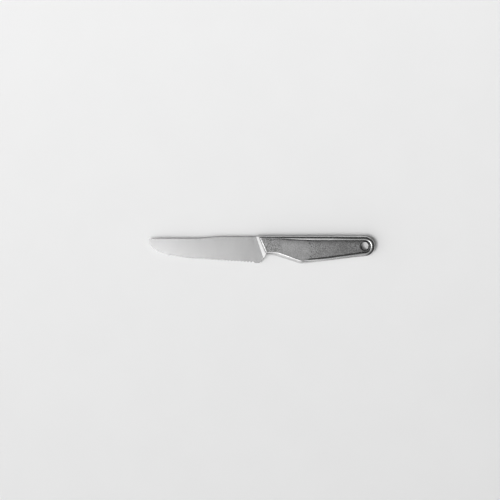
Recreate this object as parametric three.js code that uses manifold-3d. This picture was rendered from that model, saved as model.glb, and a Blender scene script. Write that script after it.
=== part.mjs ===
// Serrated knife with a framed handle. Millimetres, +Z up, lying on its right side.
// The knife is drawn flat: x runs from the heel of the blade towards the butt, y up to the spine line
// of the handle, z away from the middle plane. It rests on the lower face of its rim.
import * as THREE from "three";
import { mergeVertices } from "three/addons/utils/BufferGeometryUtils.js";
import Module from "manifold-3d";

const wasm = await Module();
wasm.setup();

// Blade
const BLADE_LENGTH = 120; // tip to heel
const BLADE_HEIGHT = 28.2; // blade spine to heel corner
const SPINE_STEP = 1.0; // the blade spine lies this far under the handle spine
const SPINE_DROP = 1.65; // fall of the spine on its way to the tip
const DROP_START = 42; // the fall starts this far ahead of the heel
const DROP_RUN = 26; // length of the fall
const SPINE_HALF = 1.0; // half thickness at the spine, at the heel
const EDGE_HALF = 0.24; // half thickness at the heel corner
const TIP_THINNING = 0.32; // loss of half thickness from heel to tip
const EDGE_RISE = 4.0; // degrees, slope of the straight part of the edge
const EDGE_STRAIGHT = 70; // length of the straight part, from the heel
const BELLY_PULL = 46; // how long the curve to the tip keeps the slope of the edge
const TIP_PULL = 3.2; // how long it keeps upright at the tip
const TIP_DEPTH = 2.75; // foremost point under the spine
const TIP_ROUND = 1.5; // corner between tip and spine
const HEEL_SET = 0.7; // the heel corner lies this far ahead of x 0
const HEEL_ANGLE = 49.5; // degrees, slope of the heel behind the edge

// Serration, ground on the right face only
const TOOTH_PITCH = 3.54;
const SCALLOP_DEPTH = 0.7;
const SCALLOP_BEVEL = 20; // degrees between the ground hollow and the blade face
const HEEL_PLAIN = 5.4; // plain edge behind the last tooth
const TIP_PLAIN = 26; // plain edge ahead of the first tooth

// Handle
const HANDLE_REACH = 123.7; // heel to butt
const FRONT_HALF = 4.7; // half thickness at the bolster
const FULL_HALF = 5.3; // half thickness from the palm to the butt
const SWELL_END = 36; // the full thickness starts this far behind the heel
const EDGE_ROUND = 2.8; // rounding of the outer edges
const BUTT_RADIUS = 10.85;
const PALM_REACH = 44; // the two lower edges would meet this far behind the heel
const PALM_DEPTH = 30; // and this far under the spine
const PALM_RADIUS = 10;
const NOTCH_REACH = 11.4; // top of the finger rest, behind the heel
const NOTCH_DEPTH = 20.7; // and under the spine
const NOTCH_RADIUS = 25;
const RIM_WIDTH = 3.8;
const RIM_AT_BOLSTER = 2.4; // the spine side of the rim narrows to this at the bolster
const RIM_TAPER_END = 66; // the narrowing starts this far behind the heel
const RIB_DEPTH = 1.0; // rib inside the rim, as thick as the tang, held between the panels
const FRONT_SINK = 0.2; // the panels lie this far under the rim, at the bolster
const BUTT_SINK = 2.1; // and this far at the butt

// Bolster
const BOLSTER_LEAD = 4.4; // its front line crosses the handle spine this far ahead of the heel
const BOLSTER_LEAN = 18; // degrees off upright
const BOLSTER_WIDTH = 5.0; // square to the front line
const RAMP_WIDTH = 4.2; // hollow rise from the blade to the full thickness
const LIP = 0.4; // thickness of the bolster at its front line

// Tang, pins and hanging hole
const SHOULDER = 2.2; // depth of the blade inside the bolster
const TANG_SIDE = 0.6; // free space between the tang and the rib, above and below
const TANG_HALF = 1.0;
const TANG_REACH = 88; // behind the heel
const TANG_END_ROUND = 3;
const PIN_RADIUS = 1.8;
const PIN_HALF = 2.6; // half length
const PIN_CHAMFER = 0.3;
const FRONT_PIN_REACH = 20; // behind the heel
const MIDDLE_PIN_REACH = 50;
const REAR_PIN_REACH = 80;
const HOLE_RADIUS = 4.6;
const BUSH_WALL = 0.7;
const BUSH_CHAMFER = 0.3;

const FIT = 0.3; // free space between neighbouring pieces
const CUT_MARGIN = 6; // how far the cutting shapes run past the material
const WELD = 1e-4; // points closer than this are one
const ROUND_SIDES = 40; // sides of a full circle
const ROUND_STEPS = 5; // steps across a rounded edge

const rad = THREE.MathUtils.degToRad;
const at = (x, y) => new THREE.Vector2(x, y);
const polar = (centre, radius, angle) =>
  at(centre.x + radius * Math.cos(angle), centre.y + radius * Math.sin(angle));

// Places that several pieces share
const heel = at(-HEEL_SET, -SPINE_STEP - BLADE_HEIGHT);
const heelWay = at(Math.cos(rad(HEEL_ANGLE)), Math.sin(rad(HEEL_ANGLE)));
const butt = at(HANDLE_REACH - BUTT_RADIUS, -BUTT_RADIUS);
const notch = at(NOTCH_REACH, -NOTCH_DEPTH - NOTCH_RADIUS);
const palm = at(PALM_REACH, -PALM_DEPTH);
const lean = Math.tan(rad(BOLSTER_LEAN));
const depthBelow = PALM_DEPTH + BLADE_HEIGHT;
const tangTop = -(RIM_WIDTH + RIB_DEPTH + TANG_SIDE);
const tangLow = -NOTCH_DEPTH - tangTop;
const tangMiddle = (tangTop + tangLow) / 2;

/** Angle at which a line from a point touches a circle. */
function touchAngle(point, centre, radius) {
  const away = point.clone().sub(centre);
  return away.angle() + Math.acos(radius / away.length());
}
const rearTouch = touchAngle(palm, butt, BUTT_RADIUS);
const frontTouch = touchAngle(palm, notch, NOTCH_RADIUS);
const palmTurn = (rearTouch - frontTouch - Math.PI) / 2;
const palmCentre = polar(palm, PALM_RADIUS / Math.cos(palmTurn), frontTouch + palmTurn);

/** x on the line that lies `behind` mm behind the front line of the bolster. */
function slantX(behind, y) {
  return -BOLSTER_LEAD - lean * y + behind / Math.cos(rad(BOLSTER_LEAN));
}

/** Half thickness of the handle, which swells from the bolster to the palm. */
function handleHalf(x) {
  const share = Math.min(1, (x + BOLSTER_LEAD) / (SWELL_END + BOLSTER_LEAD));
  return FRONT_HALF + (FULL_HALF - FRONT_HALF) * share;
}

/** Half thickness over the panels, which sink deeper into the rim towards the butt. */
function panelHalf(x) {
  const share = (x + BOLSTER_LEAD) / (HANDLE_REACH + BOLSTER_LEAD);
  return handleHalf(x) - FRONT_SINK - (BUTT_SINK - FRONT_SINK) * share;
}

/** Half thickness of the ground blade at a point. */
function bladeHalf(x, y) {
  const down = -(y + SPINE_STEP) / BLADE_HEIGHT;
  const ahead = -x / BLADE_LENGTH;
  return SPINE_HALF - (SPINE_HALF - EDGE_HALF) * down - TIP_THINNING * ahead;
}

/** Closed solid for joining and cutting, from any geometry. */
function solid(geometry) {
  const bare = geometry.clone();
  bare.deleteAttribute("normal");
  bare.deleteAttribute("uv");
  const welded = mergeVertices(bare, WELD);
  return new wasm.Manifold(
    new wasm.Mesh({
      numProp: 3,
      vertProperties: new Float32Array(welded.attributes.position.array),
      triVerts: new Uint32Array(welded.index.array),
    }),
  );
}

/** Geometry of a finished solid. */
function surface(body) {
  const mesh = body.getMesh();
  const geometry = new THREE.BufferGeometry();
  geometry.setAttribute("position", new THREE.BufferAttribute(mesh.vertProperties, 3));
  geometry.setIndex(new THREE.BufferAttribute(mesh.triVerts, 1));
  return geometry;
}

/** Straight prism over a shape, from z `low` to z `high`. */
function prism(shape, low, high) {
  const geometry = new THREE.ExtrudeGeometry(shape, { depth: high - low, bevelEnabled: false });
  return geometry.translate(0, 0, low);
}

/** Carries an outline on along an arc; it runs clockwise when `to` is less than `from`. */
function addArc(shape, centre, radius, from, to) {
  const curve = new THREE.ArcCurve(centre.x, centre.y, radius, from, to, to < from);
  const steps = Math.ceil((Math.abs(to - from) * ROUND_SIDES) / (2 * Math.PI));
  for (const point of curve.getPoints(steps)) {
    shape.lineTo(point.x, point.y);
  }
}

/** Sets the half thickness of a geometry that is symmetric about z 0. */
function setHalf(geometry, half) {
  const place = geometry.attributes.position;
  for (let i = 0; i < place.count; i += 1) {
    place.setZ(i, place.getZ(i) * half(place.getX(i), place.getY(i)));
  }
  return geometry;
}

/** Sets the half thickness of a solid that is symmetric about z 0, with a bend at the swell's end. */
function swell(body, half) {
  const thicken = (point) => {
    point[2] *= half(point[0]);
  };
  const [rear, front] = body.splitByPlane([1, 0, 0], SWELL_END);
  return rear.warp(thicken).add(front.warp(thicken));
}

/** Slanted slab between two lines parallel to the front of the bolster, from z `floor` up. */
function slab(near, far, floor = -FULL_HALF - CUT_MARGIN) {
  const top = CUT_MARGIN;
  const low = -depthBelow;
  const shape = new THREE.Shape([
    at(slantX(near, top), top),
    at(slantX(near, low), low),
    at(slantX(far, low), low),
    at(slantX(far, top), top),
  ]);
  return solid(prism(shape, floor, FULL_HALF + CUT_MARGIN));
}

/** Carries an outline on round the butt and the palm. */
function addButtAndPalm(shape, inset) {
  addArc(shape, butt, BUTT_RADIUS - inset, Math.PI / 2, rearTouch - 2 * Math.PI);
  addArc(shape, palmCentre, PALM_RADIUS - inset, rearTouch, frontTouch + Math.PI);
}

/** Outside of bolster and frame as one outline, running on ahead of the bolster. */
function outerOutline() {
  const front = -CUT_MARGIN;
  const fromNotch = heel.clone().sub(notch);
  const along = heelWay.dot(fromNotch);
  const reach = -along + Math.sqrt(along ** 2 - fromNotch.lengthSq() + NOTCH_RADIUS ** 2);
  const corner = heel.clone().addScaledVector(heelWay, reach);
  const run = (heel.x - slantX(front, heel.y)) / (heelWay.x + lean * heelWay.y);
  const toe = heel.clone().addScaledVector(heelWay, -run);
  const shape = new THREE.Shape();
  shape.moveTo(slantX(front, 0), 0);
  addButtAndPalm(shape, 0);
  addArc(shape, notch, NOTCH_RADIUS, frontTouch, corner.clone().sub(notch).angle());
  shape.lineTo(toe.x, toe.y);
  return shape;
}

/** Outline that keeps `extra` mm inside the rim, open towards the bolster. */
function innerOutline(extra) {
  const inset = RIM_WIDTH + extra;
  const narrow = RIM_AT_BOLSTER + extra;
  const low = notch.y + NOTCH_RADIUS + inset;
  const shape = new THREE.Shape();
  shape.moveTo(slantX(0, -narrow), -narrow);
  shape.lineTo(slantX(BOLSTER_WIDTH, -narrow), -narrow);
  shape.lineTo(RIM_TAPER_END, -inset);
  addButtAndPalm(shape, inset);
  addArc(shape, notch, NOTCH_RADIUS + inset, frontTouch, Math.PI / 2);
  shape.lineTo(slantX(0, low), low);
  return shape;
}

/** Rounded body that bolster and frame are cut from. */
function handleBody() {
  const geometry = new THREE.ExtrudeGeometry(outerOutline(), {
    depth: 2 * (FULL_HALF - EDGE_ROUND),
    bevelThickness: EDGE_ROUND,
    bevelSize: EDGE_ROUND,
    bevelOffset: -EDGE_ROUND,
    bevelSegments: ROUND_STEPS,
  });
  geometry.translate(0, 0, -(FULL_HALF - EDGE_ROUND));
  return swell(solid(geometry), (x) => handleHalf(x) / FULL_HALF);
}

/** Edge of the blade from the heel corner to the tip. */
function edgePath() {
  const rise = Math.tan(rad(EDGE_RISE));
  const bend = at(-EDGE_STRAIGHT, heel.y + EDGE_STRAIGHT * rise);
  const tipY = -SPINE_STEP - SPINE_DROP - TIP_DEPTH;
  const path = new THREE.Path([heel.clone(), bend]);
  path.bezierCurveTo(
    bend.x - BELLY_PULL, bend.y + BELLY_PULL * rise,
    -BLADE_LENGTH, tipY - TIP_PULL,
    -BLADE_LENGTH, tipY,
  );
  return path;
}

/** Flat outline of the blade, which ends on a line inside the bolster. */
function bladeOutline() {
  const spine = -SPINE_STEP;
  const tipSpine = spine - SPINE_DROP;
  const dropEnd = -DROP_START - DROP_RUN;
  const run = (slantX(SHOULDER, heel.y) - heel.x) / (heelWay.x + lean * heelWay.y);
  const root = heel.clone().addScaledVector(heelWay, run);
  const shape = new THREE.Shape(edgePath().getPoints(ROUND_SIDES / 2));
  shape.lineTo(-BLADE_LENGTH, tipSpine - TIP_ROUND);
  shape.quadraticCurveTo(-BLADE_LENGTH, tipSpine, -BLADE_LENGTH + TIP_ROUND, tipSpine);
  shape.lineTo(dropEnd, tipSpine);
  shape.bezierCurveTo(
    dropEnd + DROP_RUN / 2, tipSpine,
    -DROP_START - DROP_RUN / 2, spine,
    -DROP_START, spine,
  );
  shape.lineTo(slantX(SHOULDER, spine), spine);
  shape.lineTo(root.x, root.y);
  return shape;
}

/** Bar of the tang, or the slot that takes it when `free` is more than 0. */
function tangBar(free) {
  const top = tangTop + free;
  const low = tangLow - free;
  const end = TANG_REACH + free;
  const round = TANG_END_ROUND + free;
  const front = SHOULDER / 2;
  const shape = new THREE.Shape();
  shape.moveTo(slantX(front, low), low);
  shape.lineTo(end - round, low);
  addArc(shape, at(end - round, low + round), round, -Math.PI / 2, 0);
  addArc(shape, at(end - round, top - round), round, 0, Math.PI / 2);
  shape.lineTo(slantX(front, top), top);
  return solid(prism(shape, -TANG_HALF - free, TANG_HALF + free));
}

/** Round bar along z, with chamfered ends. */
function roundBar(radius, half, chamfer) {
  const profile = [
    at(0, -half),
    at(radius - chamfer, -half),
    at(radius, -half + chamfer),
    at(radius, half - chamfer),
    at(radius - chamfer, half),
    at(0, half),
  ];
  return new THREE.LatheGeometry(profile, ROUND_SIDES / 2).rotateX(Math.PI / 2);
}

/** Straight round cutter along z. */
function drill(radius, half, x, y) {
  const geometry = new THREE.CylinderGeometry(radius, radius, 2 * half, ROUND_SIDES);
  return solid(geometry.rotateX(Math.PI / 2).translate(x, y, 0));
}

/** Grinding wheels that hollow the right face of the edge, tooth by tooth. */
function scallops() {
  const bevel = rad(SCALLOP_BEVEL);
  const radius = TOOTH_PITCH ** 2 / (8 * SCALLOP_DEPTH * Math.sin(bevel));
  const path = edgePath();
  const length = path.getLength();
  const count = Math.floor((length - HEEL_PLAIN - TIP_PLAIN) / TOOTH_PITCH);
  const wheels = [];
  for (let tooth = 0; tooth < count; tooth += 1) {
    const share = (HEEL_PLAIN + (tooth + 0.5) * TOOTH_PITCH) / length;
    const point = path.getPointAt(share);
    const along = path.getTangentAt(share);
    const wheel = new THREE.CylinderGeometry(radius, radius, 2 * radius, 2 * ROUND_SIDES);
    wheel.rotateX(-bevel);
    wheel.translate(
      0,
      SCALLOP_DEPTH - radius * Math.sin(bevel),
      bladeHalf(point.x, point.y) - radius * Math.cos(bevel),
    );
    wheel.rotateZ(along.angle() - Math.PI);
    wheel.translate(point.x, point.y, 0);
    wheels.push(solid(wheel));
  }
  return wheels;
}

/** Blade with its tang. */
function buildBlade() {
  const ground = solid(setHalf(prism(bladeOutline(), -1, 1), bladeHalf));
  let body = ground.add(tangBar(0));
  for (const reach of [FRONT_PIN_REACH, MIDDLE_PIN_REACH, REAR_PIN_REACH]) {
    body = body.subtract(drill(PIN_RADIUS + FIT, TANG_HALF + CUT_MARGIN, reach, tangMiddle));
  }
  for (const wheel of scallops()) {
    body = body.subtract(wheel);
  }
  return surface(body);
}

/** Space above the hollow rise at the front of the bolster, on the side of `sign`. */
function rampCut(sign) {
  const start = SPINE_HALF + FIT + LIP;
  const full = handleHalf(slantX(RAMP_WIDTH, 0));
  const shape = new THREE.Shape();
  shape.moveTo(-CUT_MARGIN, start);
  for (let step = 0; step <= 2 * ROUND_STEPS; step += 1) {
    const share = step / (2 * ROUND_STEPS);
    const rise = (1 - Math.cos(Math.PI * share)) / 2;
    shape.lineTo(RAMP_WIDTH * share, start + (full - start) * rise);
  }
  shape.lineTo(RAMP_WIDTH, FULL_HALF + CUT_MARGIN);
  shape.lineTo(-CUT_MARGIN, FULL_HALF + CUT_MARGIN);
  const geometry = prism(shape, -depthBelow, CUT_MARGIN + depthBelow);
  geometry.rotateX(-Math.PI / 2);
  if (sign > 0) {
    geometry.rotateX(Math.PI);
  }
  geometry.rotateZ(rad(BOLSTER_LEAN));
  return solid(geometry.translate(-BOLSTER_LEAD, 0, 0));
}

/** Collar over the root of the blade and the tang. */
function buildBolster() {
  const top = -SPINE_STEP + FIT;
  const back = SHOULDER + FIT;
  const mouth = new THREE.Shape([
    at(slantX(-CUT_MARGIN, top), top),
    at(slantX(-CUT_MARGIN, -depthBelow), -depthBelow),
    at(slantX(back, -depthBelow), -depthBelow),
    at(slantX(back, top), top),
  ]);
  const slot = solid(setHalf(prism(mouth, -1, 1), (x, y) => bladeHalf(x, Math.max(y, heel.y)) + FIT));
  const body = handleBody()
    .intersect(slab(0, BOLSTER_WIDTH))
    .subtract(rampCut(1))
    .subtract(rampCut(-1))
    .subtract(slot)
    .subtract(tangBar(FIT));
  return surface(body);
}

/** Rim of the handle, with the rib that the panels hold. */
function buildFrame() {
  const behind = slab(BOLSTER_WIDTH + FIT, 2 * HANDLE_REACH);
  const through = FULL_HALF + CUT_MARGIN;
  const opening = solid(prism(innerOutline(0), -through, through));
  const ribOuter = solid(prism(innerOutline(-RIM_AT_BOLSTER / 2), -TANG_HALF, TANG_HALF));
  const ribInner = solid(prism(innerOutline(RIB_DEPTH), -through, through));
  const rib = ribOuter.subtract(ribInner);
  return surface(handleBody().subtract(opening).add(rib).intersect(behind));
}

/** Panel of the left side; the right one is its mirror image. */
function buildPanel() {
  const behind = slab(BOLSTER_WIDTH + FIT, 2 * HANDLE_REACH, TANG_HALF + FIT);
  let body = swell(solid(prism(innerOutline(FIT), -1, 1)), panelHalf).intersect(behind);
  for (const reach of [FRONT_PIN_REACH, MIDDLE_PIN_REACH, REAR_PIN_REACH]) {
    body = body.subtract(drill(PIN_RADIUS + FIT, PIN_HALF + FIT, reach, tangMiddle));
  }
  body = body.subtract(drill(HOLE_RADIUS + BUSH_WALL + FIT, FULL_HALF, butt.x, butt.y));
  return surface(body);
}

/** Lining of the hanging hole, flush with both panels. */
function buildBush() {
  const outer = HOLE_RADIUS + BUSH_WALL;
  const half = panelHalf(butt.x);
  const profile = [
    at(HOLE_RADIUS + BUSH_CHAMFER, -half),
    at(outer, -half),
    at(outer, half),
    at(HOLE_RADIUS + BUSH_CHAMFER, half),
    at(HOLE_RADIUS, half - BUSH_CHAMFER),
    at(HOLE_RADIUS, -half + BUSH_CHAMFER),
    at(HOLE_RADIUS + BUSH_CHAMFER, -half),
  ];
  const geometry = new THREE.LatheGeometry(profile, ROUND_SIDES).rotateX(Math.PI / 2);
  return geometry.translate(butt.x, butt.y, 0);
}

const satinSteel = new THREE.MeshStandardMaterial({ color: 0xc4c6c8, metalness: 1, roughness: 0.35 });
const polishedSteel = new THREE.MeshStandardMaterial({ color: 0xd8d9da, metalness: 1, roughness: 0.15 });
const rawSteel = new THREE.MeshStandardMaterial({ color: 0x6b6c6d, metalness: 0.8, roughness: 0.6 });
const pinSteel = new THREE.MeshStandardMaterial({ color: 0xb4b6b8, metalness: 1, roughness: 0.3 });

/** Named mesh of one piece. */
function piece(name, geometry, material) {
  const mesh = new THREE.Mesh(geometry, material);
  mesh.name = name;
  return mesh;
}

const panelSurface = buildPanel();
const rightPanel = piece("right_panel", panelSurface, rawSteel);
rightPanel.scale.z = -1;
const pinSurface = roundBar(PIN_RADIUS, PIN_HALF, PIN_CHAMFER);
const pin = (name, reach) =>
  piece(name, pinSurface.clone().translate(reach, tangMiddle, 0), pinSteel);

const handle = new THREE.Group();
handle.name = "handle";
handle.add(
  piece("bolster", buildBolster(), polishedSteel),
  piece("handle_frame", buildFrame(), polishedSteel),
  piece("left_panel", panelSurface, rawSteel),
  rightPanel,
  pin("front_tang_pin", FRONT_PIN_REACH),
  pin("middle_tang_pin", MIDDLE_PIN_REACH),
  pin("rear_tang_pin", REAR_PIN_REACH),
  piece("hanging_bush", buildBush(), rawSteel),
);

const lying = new THREE.Group();
lying.name = "lying";
lying.add(piece("blade", buildBlade(), satinSteel), handle);

const box = new THREE.Box3().setFromObject(lying, true);
const middle = box.getCenter(new THREE.Vector3());
lying.position.set(-middle.x, -middle.y, -box.min.z);

const knife = new THREE.Group();
knife.name = "serrated_knife";
knife.add(lying);

export default knife;
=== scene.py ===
"""Looks of a serrated knife with a framed handle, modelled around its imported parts.

Every piece is modelled flat, in millimetres, in the knife's own axes: x runs back from the heel of
the blade, y up to the spine line of the handle and z out of the left face. The tang pins of the
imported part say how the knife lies, and each piece is laid down there in metres.
"""

import logging
import math
from bisect import bisect_right
from dataclasses import astuple, dataclass, field
from enum import Enum
from typing import NamedTuple, Self, Sequence

import bmesh
import bpy
from mathutils import Matrix, Vector, noise
from mathutils.geometry import interpolate_bezier


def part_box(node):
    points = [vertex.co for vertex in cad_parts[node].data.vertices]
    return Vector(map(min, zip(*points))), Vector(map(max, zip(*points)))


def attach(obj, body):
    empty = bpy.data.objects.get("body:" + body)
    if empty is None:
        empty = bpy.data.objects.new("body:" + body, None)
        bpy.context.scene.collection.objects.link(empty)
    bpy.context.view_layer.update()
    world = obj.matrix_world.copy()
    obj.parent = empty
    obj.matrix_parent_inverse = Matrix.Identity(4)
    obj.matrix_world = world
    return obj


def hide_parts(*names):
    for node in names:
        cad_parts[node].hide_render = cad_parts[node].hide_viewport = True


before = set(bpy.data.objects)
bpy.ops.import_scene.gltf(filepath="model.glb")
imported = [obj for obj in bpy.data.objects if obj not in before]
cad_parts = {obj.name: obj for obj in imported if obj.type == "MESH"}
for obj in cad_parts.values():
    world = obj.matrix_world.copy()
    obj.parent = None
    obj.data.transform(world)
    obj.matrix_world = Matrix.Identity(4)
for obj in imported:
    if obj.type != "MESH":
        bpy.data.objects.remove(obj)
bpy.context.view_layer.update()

LOG = logging.getLogger("serrated_knife")
MM = 0.001
QUARTER = math.pi / 2


def mix(start: float, end: float, share: float) -> float:
    """Value a share of the way from start to end."""
    return start + (end - start) * share


def ease(low: float, high: float, value: float) -> float:
    """Share of the way from low to high, held at 0 and 1 and eased at both ends."""
    share = min(1.0, max(0.0, (value - low) / (high - low)))
    return share * share * (3.0 - 2.0 * share)


def steps(start: float, end: float, count: int) -> list[float]:
    """Even steps from start to just before end."""
    return [mix(start, end, index / count) for index in range(count)]


def sweep(last: float, count: int) -> list[float]:
    """Even angles from 0 to the last one."""
    return [last * index / count for index in range(count + 1)]


def heading(angle: float) -> Vector:
    """Flat direction at an angle from the x axis."""
    return Vector((math.cos(angle), math.sin(angle)))


def touch_angle(point: Vector, centre: Vector, radius: float) -> float:
    """Angle at which a line from a point touches a circle."""
    away = point - centre
    return math.atan2(away.y, away.x) + math.acos(radius / away.length)


def box_centre(node: str) -> Vector:
    """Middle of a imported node's box."""
    low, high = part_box(node)
    return (low + high) / 2


@dataclass(frozen=True)
class Ripple:
    """Smooth irregularity: its height and the size of its waves in mm, and its own seed."""

    height: float
    size: float
    seed: float

    def at(self, point: Vector, shift: float = 0.0) -> float:
        """Height at a flat point, in the pattern of a shifted seed."""
        place = Vector((point.x / self.size, point.y / self.size, self.seed + shift))
        return self.height * noise.noise(place)


@dataclass(frozen=True)
class Blend:
    """Set of sizes that can change over into another set of its kind."""

    def blend(self, other: Self, share: float) -> Self:
        """Sizes a share of the way to another set."""
        pairs = zip(astuple(self), astuple(other))
        return type(self)(*(mix(first, last, share) for first, last in pairs))


# Outlines


@dataclass(frozen=True)
class Line:
    """Straight stretch of an outline that is walked clockwise."""

    start: Vector
    end: Vector

    @property
    def length(self) -> float:
        """Length of the stretch."""
        return (self.end - self.start).length

    def at(self, share: float) -> tuple[Vector, Vector]:
        """Point and outward direction a share of the way along."""
        run = (self.end - self.start).normalized()
        return self.start.lerp(self.end, share), Vector((-run.y, run.x))


@dataclass(frozen=True)
class Arc:
    """Round stretch of an outline; a hollow one has its centre outside the piece."""

    centre: Vector
    radius: float
    first: float
    last: float
    hollow: bool = False

    @property
    def length(self) -> float:
        """Length of the stretch."""
        return abs(self.last - self.first) * self.radius

    def at(self, share: float) -> tuple[Vector, Vector]:
        """Point and outward direction a share of the way along."""
        way = heading(mix(self.first, self.last, share))
        return self.centre + way * self.radius, -way if self.hollow else way


@dataclass
class Track:
    """Line through many points, walked by its length with the piece on the right."""

    points: list[Vector]
    marks: list[float] = field(init=False)

    def __post_init__(self) -> None:
        """Measures how far along each point lies."""
        self.marks = [0.0]
        for before, after in zip(self.points, self.points[1:]):
            self.marks.append(self.marks[-1] + (after - before).length)

    def leg(self, way: float) -> int:
        """Number of the leg that a way along the track falls on."""
        return min(max(bisect_right(self.marks, way) - 1, 0), len(self.points) - 2)

    def at(self, way: float) -> Vector:
        """Point on the track.

        Args:
            way: Way along the track.

        Returns:
            The point.
        """
        leg = self.leg(way)
        share = (way - self.marks[leg]) / (self.marks[leg + 1] - self.marks[leg])
        return self.points[leg].lerp(self.points[leg + 1], share)

    def inward(self, way: float) -> Vector:
        """Direction into the piece.

        Args:
            way: Way along the track.

        Returns:
            The direction, square to the track.
        """
        leg = self.leg(way)
        run = (self.points[leg + 1] - self.points[leg]).normalized()
        return Vector((run.y, -run.x))


@dataclass(frozen=True)
class RimSection(Blend):
    """Cross-section of the rim: sizes across it and along z, in mm."""

    width: float
    round_across: float
    round_down: float
    lip: float


@dataclass(frozen=True)
class RimStation:
    """One place along the rim, with its section and its lean out of square."""

    at: Vector
    out: Vector
    along: Vector
    section: RimSection
    skew: float

    def inside(self, inset: float) -> Vector:
        """Point that lies inset mm inside the outline."""
        return self.at - self.out * inset + self.along * (self.skew * inset)


@dataclass(frozen=True)
class BladeProfile:
    """Outline and thickness of the blade, in mm."""

    length: float = 119.97
    height: float = 28.2
    spine_step: float = 1.0
    spine_drop: float = 1.65
    drop_start: float = 42.0
    drop_run: float = 26.0
    spine_half: float = 1.0
    edge_half: float = 0.24
    tip_thinning: float = 0.32
    face_power: float = 1.6
    edge_rise: float = math.radians(3.65)
    edge_straight: float = 70.0
    belly_pull: float = 46.0
    tip_pull: float = 3.2
    tip_depth: float = 2.75
    tip_round: float = 1.5
    heel_set: float = 0.7
    heel_angle: float = math.radians(49.5)
    curve_points: int = 160
    corner_points: int = 14

    @property
    def heel(self) -> Vector:
        """Heel corner."""
        return Vector((-self.heel_set, -self.spine_step - self.height))

    @property
    def heel_way(self) -> Vector:
        """Direction of the slope behind the heel corner."""
        return heading(self.heel_angle)

    def spine(self, x: float) -> float:
        """Height of the spine at x."""
        fall = ease(self.drop_start, self.drop_start + self.drop_run, -x)
        return -self.spine_step - self.spine_drop * fall

    def half(self, point: Vector) -> float:
        """Half thickness of the ground blade.

        Args:
            point: Place on the face.

        Returns:
            Half the thickness there.
        """
        down = -(point.y + self.spine_step) / self.height
        ahead = -point.x / self.length
        ground = (self.spine_half - self.edge_half) * max(0.0, down) ** self.face_power
        return self.spine_half - ground - self.tip_thinning * ahead

    def edge(self) -> list[Vector]:
        """Edge from the heel corner to the foremost point of the tip.

        Returns:
            Points along the edge.
        """
        slope = math.tan(self.edge_rise)
        bend = Vector((-self.edge_straight, self.heel.y + self.edge_straight * slope))
        tip = Vector((-self.length, self.spine(-self.length) - self.tip_depth))
        curve = interpolate_bezier(
            bend,
            bend + Vector((-1.0, slope)) * self.belly_pull,
            tip - Vector((0.0, self.tip_pull)),
            tip,
            self.curve_points,
        )
        return [self.heel] + [Vector(point[:2]) for point in curve]

    def nose(self) -> list[Vector]:
        """Rounded corner between the foremost point and the spine.

        Returns:
            Points along the corner.
        """
        top = self.spine(-self.length)
        centre = Vector((-self.length + self.tip_round, top - self.tip_round))
        turns = [math.pi - turn for turn in sweep(QUARTER, self.corner_points)]
        return [centre + heading(turn) * self.tip_round for turn in turns]


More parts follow.
